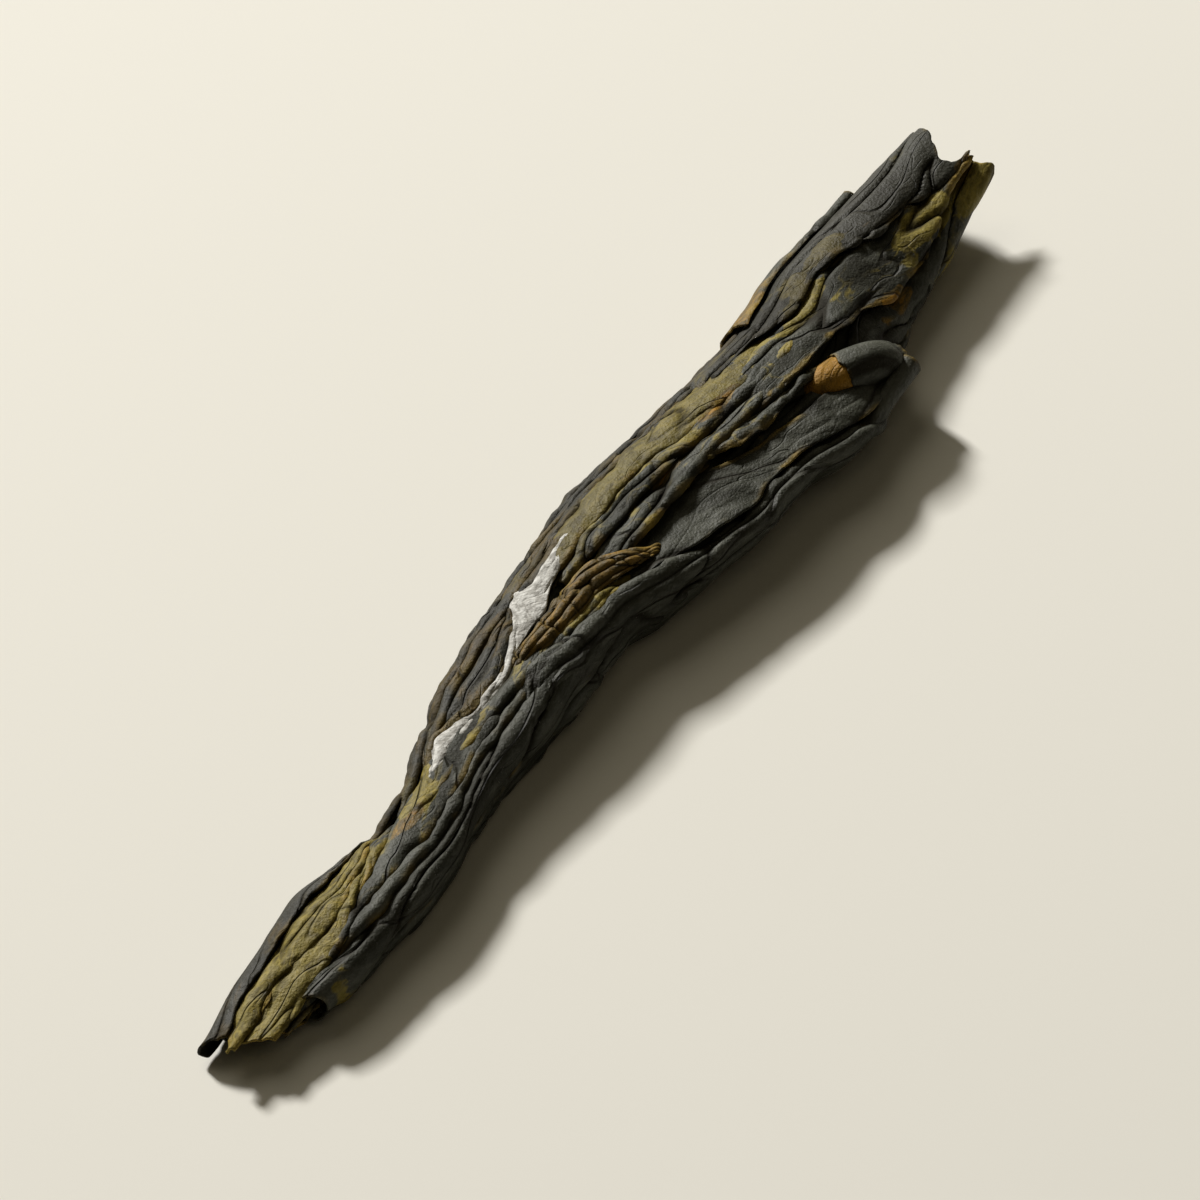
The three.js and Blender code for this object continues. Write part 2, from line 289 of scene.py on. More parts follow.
# %% The dry leaf tree
LEAF_INPUTS = [
    ("Detail", "NodeSocketInt", 2),
    ("Leaf thickness", "NodeSocketFloat", 0.26 * MM),
    ("Crease depth", "NodeSocketFloat", 0.45 * MM),
    ("Crease length", "NodeSocketFloat", 30.0 * MM),
    ("Pleats", "NodeSocketFloat", 4.0),
    ("Pleat height", "NodeSocketFloat", 0.5 * MM),
    ("Pleat lean", "NodeSocketFloat", 0.7),
    ("Crumple", "NodeSocketFloat", 0.25 * MM),
    ("Frill", "NodeSocketFloat", 0.25 * MM),
    ("Fray", "NodeSocketFloat", 0.0),
    ("Seed", "NodeSocketFloat", 0.0),
    ("Leaf", "NodeSocketMaterial", None),
]


def leaf_tree():
    tree = bpy.data.node_groups.new("dry_leaf", "GeometryNodeTree")
    tree.interface.new_socket("Sheet", in_out="INPUT", socket_type="NodeSocketGeometry")
    for name, kind, value in LEAF_INPUTS:
        made = tree.interface.new_socket(name, in_out="INPUT", socket_type=kind)
        if value is not None:
            made.default_value = value
    tree.interface.new_socket("Leaf", in_out="OUTPUT", socket_type="NodeSocketGeometry")
    bench = Bench(tree)
    given = bench.node("NodeGroupInput")
    size = {name: bench.other(given, name) for name, kind, value in LEAF_INPUTS}
    sheet = bench.node("GeometryNodeSubdivisionSurface", inputs={
        "Mesh": bench.other(given, "Sheet"), "Level": size["Detail"]})

    # Where a point lies: along the strand, round the leaf, and from 0 to 1 across it
    ahead, around, across = bench.split(carried(bench, "place"))
    from_edge, from_foot, from_tip = bench.split(carried(bench, "gap"))
    seed = size["Seed"]

    # The leaf is pleated as an accordion is. The pleats draw together where it is narrow, lean over to
    # one side, wander a little and come and go.
    wander = bench.noise(bench.vector(ahead / (30 * MM), across * 2.5, seed * 7.3), detail=2.0) - 0.5
    pleat_line = across * size["Pleats"] + wander * 0.6
    pleat = pleat_wave(bench, pleat_line)
    pleat_place = bench.vector(ahead / (24 * MM), pleat_line * 0.45, seed * 1.9)
    pleat_strength = bench.ramp(bench.noise(pleat_place, detail=1.0), 0.3, 0.62)
    small_wander = bench.noise(bench.vector(ahead / (12 * MM), across * 5.0, seed), detail=1.0)
    small_line = pleat_line * 2.7 + small_wander * 1.2
    small_pleat = pleat_wave(bench, small_line)
    small_place = bench.vector(ahead / (11 * MM), small_line * 0.4, seed * 2.9)
    small_strength = bench.ramp(bench.noise(small_place, detail=1.0), 0.38, 0.62)

    # Narrow creases run where a noise crosses its middle, and a net of cells breaks up the pleats
    crease_place = bench.vector(ahead / size["Crease length"], around / (5.5 * MM), seed * 3.1)
    crease = bench.most(1.0 - abs(bench.noise(crease_place, detail=0.5) - 0.5) * 34.0, 0.0)
    facet_place = bench.vector(
        ahead / (6.0 * MM) + wander, around / (3.0 * MM) + wander * 2.0, seed * 2.3)
    facet = bench.least(bench.cells(facet_place, feature="DISTANCE_TO_EDGE"), 0.4)
    swell_place = bench.vector(ahead / (10 * MM), around / (4.5 * MM), seed * 1.3)
    swell = bench.noise(swell_place, detail=1.5) - 0.5
    high = pleat * (0.1 + 1.1 * pleat_strength) * size["Pleat height"]
    relief = (
        high
        + small_pleat * small_strength * size["Pleat height"] * 0.12
        + swell * size["Crumple"] * 3.0
        + facet * size["Crumple"] * 0.8
        - crease * size["Crease depth"]
    )

    # A free edge waves in and out
    near_edge = bench.ramp(from_edge, 2.2 * MM, 0.0)
    frill_place = bench.vector(ahead / (2.6 * MM), seed * 9.1, across * 2.0)
    frill = (bench.noise(frill_place, detail=1.5) - 0.5) * near_edge * size["Frill"] * 4.0

    # The ends break off unevenly
    near_end = bench.ramp(from_tip, 4 * MM, 0.0) - bench.ramp(from_foot, 4 * MM, 0.0)
    torn = bench.noise(bench.vector(around / (1.6 * MM), seed * 4.1, 0.0), detail=3.0) - 0.5
    outwards = bench.node("GeometryNodeInputNormal")
    sideways = bench.vector_math("CROSS_PRODUCT", outwards, (1.0, 0.0, 0.0))
    sideways = bench.vector_math("NORMALIZE", sideways)
    leaned = bench.scaled(sideways, high * size["Pleat lean"])
    moved = bench.vector_math("ADD", bench.scaled(outwards, relief + frill), leaned)
    frayed = bench.vector(torn * 2.0 * near_end * size["Fray"], 0.0, 0.0)
    moved = bench.vector_math("ADD", moved, frayed)
    bent = bench.node("GeometryNodeSetPosition", inputs={"Geometry": sheet, "Offset": moved})

    # What the material reads
    crest = 0.45 + pleat * pleat_strength * 0.8 + small_pleat * small_strength * 0.35
    crest = crest + swell * 0.5 - crease * 0.8
    bent = stored(bench, bent, "crest", crest)
    from_end = bench.least(from_tip, from_foot) + 0.15 * MM
    edge = bench.ramp(bench.least(from_edge, from_end), 0.75 * MM, 0.1 * MM)
    bent = stored(bench, bent, "edge", edge)
    lined = bench.least(size["Crease depth"] / (0.4 * MM), 1.0)
    bent = stored(bench, bent, "line", bench.vector(pleat_line, lined, seed), "FLOAT_VECTOR")

    # The thickness: the outer face is pushed off the inner one, which is turned to face inwards
    outer = bench.node("GeometryNodeExtrudeMesh", {"mode": "FACES"}, {
        "Mesh": bent, "Offset Scale": size["Leaf thickness"], "Individual": False}, "Mesh")
    inner = bench.node("GeometryNodeFlipFaces", inputs={"Mesh": bent})
    both = bench.node("GeometryNodeJoinGeometry")
    for part in (inner, outer):
        tree.links.new(part.socket, both.socket.node.inputs[0])
    leaf = bench.node("GeometryNodeMergeByDistance", inputs={"Geometry": both, "Distance": 0.002 * MM})
    leaf = bench.node("GeometryNodeSetShadeSmooth", inputs={"Geometry": leaf})
    leaf = bench.node("GeometryNodeRealizeInstances", inputs={"Geometry": leaf})
    leaf = bench.node("GeometryNodeSetMaterial", inputs={"Geometry": leaf, "Material": size["Leaf"]})
    end = tree.nodes.new("NodeGroupOutput")
    tree.links.new(leaf.socket, end.inputs[0])
    return tree


def pleat_wave(bench, line):
    """Soft plies with narrow valleys between them, from -0.5 in a valley to 0.5 along a crest."""
    from_valley = bench.node("ShaderNodeMath", {"operation": "PINGPONG"}, {0: line, 1: 1.0})
    return 0.5 - (1.0 - from_valley) ** 4.0


def stored(bench, geometry, name, value, kind="FLOAT"):
    settings = {"data_type": kind, "domain": "POINT"}
    inputs = {"Geometry": geometry, "Name": name, "Value": value}
    return bench.node("GeometryNodeStoreNamedAttribute", settings, inputs)


def carried(bench, name):
    settings = {"data_type": "FLOAT_VECTOR"}
    return bench.node("GeometryNodeInputNamedAttribute", settings, {"Name": name}, "Attribute")


dry_leaf = leaf_tree()
print("dry leaf tree:", len(dry_leaf.nodes), "nodes")

# %% [markdown]
# ## Laying a sheet
# A sheet runs between two lines along the strand. lifts raise its left and right edges off the skin,
# so that one edge can overhang the next leaf and the other tuck under its neighbour. belly bows its
# middle out, or in where it is negative. A hook rolls an edge over: so many degrees at such a radius.
# With more than a full turn it is a roll.
#
# A path with a curve modifier could carry the sheet as well, but rows of points worked out from the
# skin stay exact, and two sheets that share a line can't drift apart.

# %% The section of a sheet
SHEET_STEP_ACROSS = 0.75  # the size of a coarse sheet's quads, in millimetres
SHEET_STEP_AHEAD = 1.1
HOOK_STEP = 0.45
SIDE_WAVER = 0.007  # how far a sheet's side strays from its line, as a share of the width
SIDE_WAVER_PERIOD = 21
END_SINK = 1.3  # how deep a sheet's hidden end dips under its neighbours
CUT_REACH = 14  # over what length a ragged tip is drawn back


def at(value, x):
    """A size that is a plain number, or a list of keys along the strand."""
    return along(value, x) if isinstance(value, list) else value


def hooked(points, degrees, radius, step):
    """Points that go on from the last two of points and turn left by so many degrees."""
    made = []
    place = points[-1]
    way = (points[-1] - points[-2]).normalized()
    count = max(2, round(abs(math.radians(degrees)) * radius / step))
    for i in range(count):
        bend = math.radians(degrees) / count
        way = Matrix.Rotation(bend, 2) @ way
        tighter = 1 - 0.3 * min(1.0, abs(degrees) / 300) * i / count
        place = place + way * abs(bend) * radius * tighter
        made.append(place)
    return made


def fades(sheet, x):
    """How much of the sheet is out at x, 0 where a hidden end begins and 1 along its middle."""
    reach = sheet.get("taper", END_TAPER)
    begins = 1.0 if sheet.get("open_foot") else smooth(0.25 + (x - sheet["from"]) / reach)
    ends = 1.0 if sheet.get("open_tip") else smooth(0.25 + (sheet["to"] - x) / reach)
    return begins * ends


def section(sheet, x, seed, counts):
    """The sheet's section at x, as (y, z) points from its left side to its right."""
    fade = fades(sheet, x)
    sides = []
    for number, side in enumerate(("left", "right")):
        stray = SIDE_WAVER * waver(x, seed + number * 3, SIDE_WAVER_PERIOD)
        sides.append(turn_at(at(sheet[side], x) + stray))
    middle = (sides[0] + sides[1]) / 2
    sides = [middle + (side - middle) * (0.3 + 0.7 * fade) for side in sides]
    lifts = [at(lift, x) * fade - (1 - fade) * END_SINK for lift in sheet["lifts"]]
    belly = at(sheet.get("belly", 0.0), x) * fade
    points = []
    for i in range(counts[1] + 1):
        share = i / counts[1]
        turn = sides[0] + (sides[1] - sides[0]) * share
        lift = lifts[0] + (lifts[1] - lifts[0]) * share + belly * 4 * share * (1 - share)
        points.append(Vector(skin(x, turn)) + skin_normal(x, turn) * lift)
    for side, way in (("hook_left", -1), ("hook_right", 1)):
        if side in sheet:
            degrees, radius = (at(value, x) for value in sheet[side])
            points = points[::-1] if way < 0 else points
            tail = hooked(points, degrees * way, radius * (0.2 + 0.8 * fade), 0.1)
            tail = evened(tail, counts[0] if way < 0 else counts[2])
            points = (points + tail)[::-1] if way < 0 else points + tail
    return points


def evened(points, count):
    """count points spread evenly along a line of points, without its first."""
    return [points[round((i + 1) * (len(points) - 1) / count)] for i in range(count)]


def sheet_counts(sheet):
    """How many steps the sheet's section has in its left hook, its middle and its right hook."""
    x = (sheet["from"] + sheet["to"]) / 2
    hooks = []
    for side in ("hook_left", "hook_right"):
        degrees, radius = (at(value, x) for value in sheet.get(side, (0, 0)))
        count = max(2, round(math.radians(abs(degrees)) * radius / HOOK_STEP))
        hooks.append(count if side in sheet else 0)
    edges = [Vector(skin(x, turn_at(at(sheet[side], x)))) for side in ("left", "right")]
    return hooks[0], max(5, round((edges[0] - edges[1]).length / SHEET_STEP_ACROSS)), hooks[1]


def sheet_rows(sheet, seed):
    """The rows of points of a sheet on the skin, each from its left side to its right."""
    counts = sheet_counts(sheet)
    steps = max(6, round((sheet["to"] - sheet["from"]) / SHEET_STEP_AHEAD))
    rows = []
    for step in range(steps + 1):
        x = sheet["from"] + (sheet["to"] - sheet["from"]) * step / steps
        slope = FOOT_SHEAR * smooth(1 - x / FOOT_SHEAR_REACH)
        near_tip = smooth(1 - (sheet["to"] - x) / CUT_REACH)
        points = section(sheet, x, seed, counts)
        shares = [i / (len(points) - 1) for i in range(len(points))]
        row = []
        for point, share in zip(points, shares):
            short = at(sheet.get("cut", 0.0), share) * near_tip
            row.append(Vector((x + (0.5 - point.x) * slope - short, point.x, point.y)))
        rows.append(row)
    return rows


# %% [markdown]
# ## From a sheet to a finished leaf
# The rows of points become a mesh of quads. The tree and the material need to know where each point lies
# in its leaf, and that is easiest to work out while the rows are at hand. So each point carries three
# vectors: place is the way along and round the leaf, gap the distances to its free edges, and stain its
# share of each colour and of painted shade. The modifier is then read back as a plain mesh, because only
# plain meshes are handed on.

# %% From a sheet to a finished leaf
def sheet_object(name, rows, stains):
    """A mesh of rows of points. stains gives three stains for a point and its share across: olive, brown,
    and bloom that is painted shade where it is below 0.
    """
    places, laid, gaps, shades = [], [], [], []
    middles = [row[len(row) // 2] for row in rows]
    reach = [0.0]
    for before, after in zip(middles, middles[1:]):
        reach.append(reach[-1] + (after - before).length)
    for row, ahead in zip(rows, reach):
        lengths = [0.0]
        for before, after in zip(row, row[1:]):
            lengths.append(lengths[-1] + (after - before).length)
        for point, length in zip(row, lengths):
            share = length / lengths[-1]
            places.append(point * MM)
            laid.append(Vector((point.x * MM, length * MM, share)))
            gaps.append(Vector((min(length, lengths[-1] - length), ahead, reach[-1] - ahead)) * MM)
            shades.append(stains(point, share))
    across = len(rows[0])
    faces = [
        (i * across + j, i * across + j + 1, (i + 1) * across + j + 1, (i + 1) * across + j)
        for i in range(len(rows) - 1) for j in range(across - 1)
    ]
    mesh = bpy.data.meshes.new(name)
    mesh.from_pydata(places, [], faces)
    for key, vectors in (("place", laid), ("gap", gaps), ("stain", shades)):
        values = mesh.attributes.new(key, "FLOAT_VECTOR", "POINT")
        values.data.foreach_set("vector", [number for vector in vectors for number in vector])
    made = bpy.data.objects.new(name, mesh)
    bpy.context.scene.collection.objects.link(made)
    return made


def dried(carrier, seed, **sizes):
    """Dries a sheet with the dry leaf tree and keeps the result as a plain mesh."""
    values = {"Leaf": dried_leaf, "Seed": float(seed), **sizes}
    modifier = carrier.modifiers.new("dry leaf", "NODES")
    modifier.node_group = dry_leaf
    for item in dry_leaf.interface.items_tree:
        if item.in_out == "INPUT" and item.name in values:
            modifier[item.identifier] = values[item.name]
    evaluated = carrier.evaluated_get(bpy.context.evaluated_depsgraph_get())
    mesh = bpy.data.meshes.new_from_object(evaluated)
    bpy.data.objects.remove(carrier)
    mesh.transform(Matrix.Translation(TO_FRAME))
    return mesh


def leaf_from(sheet, seed):
    """The dried leaf of a sheet on the skin."""
    def stains(point, share):
        stain = [at(sheet.get(kind, 0.0), point.x) for kind in ("olive", "brown", "bloom")]
        for kind, x, y, long, wide, amount in SPOTS:
            away = math.hypot((point.x - x) / long, (point.y - y) / wide)
            stain[kind] += amount * smooth(SPOT_EDGE - away)
        return stain

    carrier = sheet_object(sheet["name"], sheet_rows(sheet, seed), stains)
    return dried(carrier, seed, **sheet.get("sizes", {}))


def piece_of(name, meshes):
    """Joins meshes into one piece of the strand, which rides on its only body, and hides the CAD solid it
    stands in for.
    """
    made = [bpy.data.objects.new(name, mesh) for mesh in meshes]
    for part in made:
        bpy.context.scene.collection.objects.link(part)
    if len(made) > 1:
        with bpy.context.temp_override(active_object=made[0], selected_editable_objects=made):
            bpy.ops.object.join()
    piece = made[0]
    piece.name = name
    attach(piece, "root")
    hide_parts("wakame_strand")
    triangles = sum(len(polygon.vertices) - 2 for polygon in piece.data.polygons)
    print(f"{name}: {triangles} triangles")
    return piece


# %% [markdown]
# ## The dried leaf's finish
# Dried kelp is matt and nearly black, with a grey dust of salt on its crests. Where it is thin or has
# faded it turns olive. One material makes all of it, and paints light and shade into the colour as well:
# shade in the creases and hollows, a highlight on the crests along with the dust, and ochre at the thin
# edges for the light that shines through them. The folds carry how much olive, brown and bloom they show,
# and how much painted shade darkens those on the lit left side, and noise that runs along the leaf decides
# where exactly. The noise is read in the leaf's own directions, so that streaks follow each fold wherever
# it turns.

# %% The colours
CHARCOAL = (0.027, 0.028, 0.018, 1)
PITCH = (0.012, 0.010, 0.004, 1)
# the grey of salt dust on the crests, laid on partly as a painted highlight
DUST_AND_HIGHLIGHT = (0.078, 0.080, 0.062, 1)
OLIVE = (0.180, 0.143, 0.022, 1)
OLIVE_DARK = (0.072, 0.054, 0.006, 1)
OLIVE_PALE = (0.280, 0.225, 0.055, 1)
OCHRE = (0.260, 0.145, 0.014, 1)
AMBER_SKIN = (0.300, 0.150, 0.010, 1)
BROWN = (0.085, 0.056, 0.010, 1)
BLOOM = (0.600, 0.595, 0.560, 1)
BLOOM_SHADE = (0.330, 0.320, 0.290, 1)
VEIN = (0.250, 0.195, 0.035, 1)


# %% The leaf material
def blend(bench, factor, first, second):
    """A colour between two, each a link or a plain colour."""
    return bench.node("ShaderNodeMix", {"data_type": "RGBA"}, {0: factor, 6: first, 7: second}, 2)


def groove(bench, place, sharpness):
    """A thin line from 0 to 1 where a noise crosses its middle."""
    return bench.most(1.0 - abs(bench.noise(place, detail=0.5) - 0.5) * sharpness, 0.0)


def leaf_material():
    material = bpy.data.materials.new("dried_leaf")
    material.use_nodes = True
    material.node_tree.nodes.clear()
    bench = Bench(material.node_tree)
    place = bench.node("ShaderNodeAttribute", {"attribute_name": "place"}, output="Vector")
    stain = bench.node("ShaderNodeAttribute", {"attribute_name": "stain"}, output="Vector")
    line = bench.node("ShaderNodeAttribute", {"attribute_name": "line"}, output="Vector")
    crest = bench.node("ShaderNodeAttribute", {"attribute_name": "crest"}, output="Fac")
    edge = bench.node("ShaderNodeAttribute", {"attribute_name": "edge"}, output="Fac")
    spot = bench.node("ShaderNodeTexCoord", output="Object")
    olive, brown, bloom = bench.split(stain)
    ahead, around = bench.split(place)[:2]
    pleat_line, lined, seed = bench.split(line)

    def stretched(long, wide, shift):
        """The place in the leaf, in units of so many millimetres along it and round it."""
        return bench.vector(ahead / (long * MM), around / (wide * MM), seed * shift)

    # Streaks run along the leaf; specks do not
    streak = bench.noise(stretched(4.5, 1.5, 3.3), detail=3.0)
    patch = bench.noise(stretched(7, 3.2, 4.7), detail=2.0)
    hair = bench.noise(stretched(1.3, 0.42, 5.3), detail=3.0)
    speck = bench.noise(spot, 900.0, 3.0, 0.6)
    grain = bench.noise(spot, 4200.0, 2.0, 0.6)

    # Creases of three sizes
    deep = groove(bench, stretched(30, 5.5, 3.1), 55.0)
    middling = groove(bench, stretched(17, 4.2, 5.9), 50.0)
    shallow = groove(bench, stretched(5, 1.8, 8.3), 30.0)
    deep = deep * lined
    middling = middling * lined
    shallow = shallow * bench.ramp(patch, 0.45, 0.6)
    # The dark line along the creases is painted shade
    crease_shade = bench.most(bench.most(deep, middling * 0.9), shallow * lined * 0.25)

    # The dark leaf: painted shade in its valleys, and grey on its crests that is partly salt dust and
    # partly a painted highlight
    lit = crest + (patch - 0.5) * 0.7
    colour = blend(bench, bench.ramp(lit, 0.0, 0.75), PITCH, CHARCOAL)
    dust_and_highlight = bench.ramp(lit + (streak - 0.5) * 1.6 + (hair - 0.5) * 1.0, 0.40, 1.25)
    colour = blend(bench, dust_and_highlight * 0.85, colour, DUST_AND_HIGHLIGHT)

    # Olive, from lone streaks to a whole panel. Its lighter and paler tones lean toward the crests, partly
    # as painted highlight
    olive_mask = olive + (streak - 0.5) * 0.9 + (patch - 0.5) * 1.2 + crest * 0.2
    olive_mask = bench.ramp(olive_mask, 0.58, 0.72)
    olive_light = bench.ramp(hair * 0.5 + streak * 0.5 + crest * 0.15, 0.42, 0.72)
    olive_tone = blend(bench, olive_light, OLIVE_DARK, OLIVE)
    olive_pale = bench.ramp(speck + crest * 0.2, 0.55, 0.85) * 0.5
    olive_tone = blend(bench, olive_pale, olive_tone, OLIVE_PALE)
    colour = blend(bench, olive_mask * 0.93, colour, olive_tone)

    # Yellow veins run along the borders of the olive patches
    border = bench.noise(stretched(5, 2.2, 6.7), detail=2.0)
    vein = bench.most(1.0 - abs(border - 0.5) * 26.0, 0.0)
    vein = vein * bench.ramp(olive + (patch - 0.5), 0.2, 0.6)
    colour = blend(bench, vein * 0.8, colour, VEIN)

    # Brown and ochre stains; the brown is painted darker in the hollows as shade, and turns ochre toward
    # the crests partly as painted highlight
    brown_mask = bench.ramp(brown + (streak - 0.5) * 1.1 + (patch - 0.5) * 0.7, 0.55, 0.8)
    brown_tone = blend(bench, bench.ramp(hair + crest * 0.3, 0.62, 1.05), BROWN, OCHRE)
    colour = blend(bench, brown_mask * 0.85, colour, brown_tone)
    amber_mask = bench.ramp(brown, 1.6, 1.9) * bench.ramp(streak * 0.5 + speck * 0.5, 0.2, 0.6)
    colour = blend(bench, amber_mask, colour, AMBER_SKIN)

    # Thin edges are painted ochre as light that shines through them, and the creases are painted black as
    # shade
    edge_mask = edge * bench.ramp(patch + (streak - 0.5) * 0.6, 0.42, 0.66)
    colour = blend(bench, edge_mask * 0.7, colour, blend(bench, hair, OCHRE, VEIN))
    colour = blend(bench, crease_shade * 0.9, colour, PITCH)

    # Grains of salt that caught on the dry leaf
    salt = bench.ramp(bench.cells(spot, 2100.0), 0.22, 0.08)
    salt = salt * bench.ramp(patch + (grain - 0.5), 0.5, 0.75)
    colour = blend(bench, salt * (1.0 - crease_shade) * 0.45, colour, BLOOM_SHADE)

    # A third stain below 0 is painted shade, which darkens the leaves on the lit left side
    colour = blend(bench, bench.most(-bloom, 0.0), colour, PITCH)

    # The bloom of salt and sugar
    bloom_mask = bloom + (streak - 0.5) * 0.6 + (patch - 0.5) * 0.7 + (speck - 0.5) * 0.3
    bloom_mask = bench.ramp(bloom_mask, 0.5, 0.6)
    bloom_tone = blend(bench, bench.ramp(speck * 0.6 + hair * 0.4, 0.38, 0.6), BLOOM_SHADE, BLOOM)
    colour = blend(bench, bloom_mask, colour, bloom_tone)

    # Pebbly grain, wrinkles and creases
    pebble = bench.cells(spot, 2600.0)
    wrinkles = streak * 0.08 + hair * 0.08 - deep - middling * 0.8 - shallow * 0.3
    height = wrinkles * (1.0 - bloom_mask * 0.6)
    height = height + grain * 0.3 - pebble * 0.18 + speck * 0.45 + salt * 0.25
    bump = bench.node("ShaderNodeBump", inputs={
        "Strength": 0.9, "Distance": 0.32 * MM, "Height": height})
    roughness = bench.ramp(crest + (speck - 0.5), -0.2, 0.9, 0.85, 0.58)
    surface = bench.node("ShaderNodeBsdfPrincipled", inputs={
        "Base Color": colour, "Roughness": bench.most(roughness, bloom_mask * 0.9), "Normal": bump,
        "Specular IOR Level": 0.22})
    end = material.node_tree.nodes.new("ShaderNodeOutputMaterial")
    material.node_tree.links.new(surface.socket, end.inputs["Surface"])
    return material


dried_leaf = leaf_material()

# %% [markdown]
# ## The creases
# The long creases and edges divide the strand into its leaves. Each is a line of (distance from the
# foot, how far across) and is named once here, so that the two leaves that meet at it share it.

# %% Lines along the strand
CREASES = {
    "left_crease": [
        (-3, 0.14), (0, 0.4), (4, 0.58), (9, 0.53), (14, 0.6), (20, 0.52), (23, 0.44), (27, 0.64),
        (34, 0.95),
    ],
    "olive_inner": [
        (0, 0.0), (3, 0.03), (8, 0.13), (13, 0.02), (18, -0.13), (22, -0.09), (28, 0.3), (34, 0.8),
    ],
    "olive_edge": [
        (2, -0.66), (4, -0.62), (6.4, -0.48), (15, -0.47), (17, -0.48), (21, -0.26), (25, -0.09),
        (31, 0.26), (36, 0.7),
    ],
    "grey_crease": [(10, -0.5), (20, -0.46), (33, -0.28), (40, -0.34), (47, -0.4), (56, -0.42)],
    "roll_crease": [
        (5, -0.4), (8, -0.45), (15.6, -0.65), (20, -0.7), (23, -0.8), (27, -0.68), (31, -0.6), (40, -0.7),
        (45, -0.58), (52, -0.6), (57, -0.6), (64, -0.55), (72, -0.76),
    ],
    "ridge_crease": [
        (34, 0.35), (39, 0.13), (43, -0.03), (47, -0.13), (50, -0.27), (57, -0.34), (60, -0.4),
        (66, -0.5),
    ],
    "bloom_left": [
        (41, 0.3), (44.5, 0.38), (46.3, 0.45), (48.7, 0.53), (51.6, 0.29), (54.4, 0.05), (60, -0.01),
        (62.5, 0.06), (66, 0.23), (68, 0.31), (70.7, 0.66), (72.7, 0.41), (76.4, 0.42), (80, 0.47),
        (84, 0.46),
    ],
    "bloom_right": [
        (41, 0.28), (44.5, 0.33), (46, 0.17), (48.7, 0.04), (51, 0.02), (54, -0.08), (60, -0.1),
        (64, 0.02), (68.6, 0.05), (70.8, 0.02), (73.6, 0.13), (77, 0.22), (79.6, 0.39), (84, 0.44),
    ],
    "rim": [
        (56, -0.2), (63.8, -0.37), (67, -0.53), (70.8, -0.66), (74, -0.75), (80, -0.73), (84, -0.78),
        (91, -0.85), (99, -0.88), (101, -0.84), (108, -0.88), (113, -0.9), (119, -0.95), (131, -0.95),
    ],
    "brown_top": [
        (60, -0.1), (69, -0.11), (72, -0.07), (76, -0.1), (79.5, -0.13), (81.6, -0.28), (85, -0.5),
    ],
    "olive_left": [
        (74, 0.42), (80.6, 0.44), (86, 0.48), (89, 0.54), (92.6, 0.51), (97, 0.58), (99.8, 0.48),
        (102.7, 0.57), (107, 0.65), (110, 0.58), (120, 0.58),
    ],
    "olive_right": [
        (74, 0.13), (77, 0.17), (83, 0.32), (86, 0.29), (90.6, 0.35), (97, 0.38), (100.7, 0.27),
        (107, 0.25), (120, 0.24),
    ],
    "deep_gap": [
        (76, -0.28), (82, -0.32), (89.5, -0.25), (96, -0.18), (101, -0.13), (113, -0.14), (122, -0.14),
    ],
    "hollow_top": [
        (80, -0.35), (82, -0.32), (85, -0.27), (90, -0.13), (94, -0.07), (97, -0.14), (99, -0.2),
        (102, -0.32), (106, -0.46), (114, -0.5), (126, -0.55),
    ],
    "ledge_edge": [(95, -0.14), (101, -0.13), (104, -0.34), (109, -0.39), (112.6, -0.29), (120, -0.3)],
    "panel_crease": [
        (108, 0.56), (120, 0.58), (122.5, 0.47), (125.7, 0.36), (132.7, 0.33), (137, 0.24), (139, 0.08),
        (142.6, -0.06), (149, -0.14), (152, -0.29), (155.6, -0.4), (161, -0.46),
    ],
    "overhang": [
        (106, -0.17), (120, -0.14), (125, -0.21), (129.6, -0.38), (132.5, -0.51), (136.5, -0.73),
        (139, -0.71), (144, -0.83), (147, -0.76), (151, -0.65), (156, -0.58), (162, -0.58),
    ],
    "flap_edge": [(120, 0.72), (125, 0.78), (131, 0.84), (148, 0.84)],
}

# Patches of colour: (0 for olive or 1 for brown, x, y, reach along, reach across, amount)
SPOT_EDGE = 1.6  # a patch is full up to 0.6 of its reach and fades out by 1.6
SPOTS = [
    (1, 35.9, -2.7, 2.5, 0.6, 1.8), (0, 39.9, -1.7, 3.0, 0.8, 0.9), (0, 42.2, 0.3, 3.0, 0.6, 1.0),
    (1, 61.5, 5.0, 7.0, 0.7, 0.9), (1, 108.2, 0.6, 3.5, 0.7, 1.9), (1, 95.6, 0.2, 2.5, 0.4, 1.6),
    (1, 134.7, -5.5, 4.5, 0.6, 1.9), (0, 147.9, -2.2, 4.0, 1.3, 1.5), (0, 129.9, 4.1, 2.0, 0.8, 1.3),
    (0, 130.1, 1.6, 1.8, 0.9, 1.3), (0, 125.6, 0.5, 3.2, 0.7, 1.2), (0, 137.0, 4.1, 3.0, 0.6, 1.2),
    (1, 143.0, 1.6, 2.0, 0.6, 0.8), (0, 159.7, -2.6, 3.0, 1.0, 1.4), (1, 159.0, -1.6, 3.0, 0.6, 1.2),
    (1, 118.0, 7.4, 8.0, 0.9, 0.9), (0, 13.1, -8.1, 2.0, 0.5, 0.6), (0, 88.1, 4.2, 7.0, 1.0, 0.4),
    (0, 97.0, 4.2, 7.0, 1.3, 0.4), (0, 105.0, 3.4, 5.0, 1.5, 0.3), (0, 111.0, 1.8, 5.0, 1.3, 0.4),
    (0, 127.5, 1.5, 2.6, 0.8, 0.9), (0, 136.8, 3.9, 2.4, 0.6, 0.9), (0, 118.2, 2.0, 3.0, 0.8, 0.5),
]


def line(value):
    """A line by its name, or the number or list itself."""
    return CREASES[value] if isinstance(value, str) else value


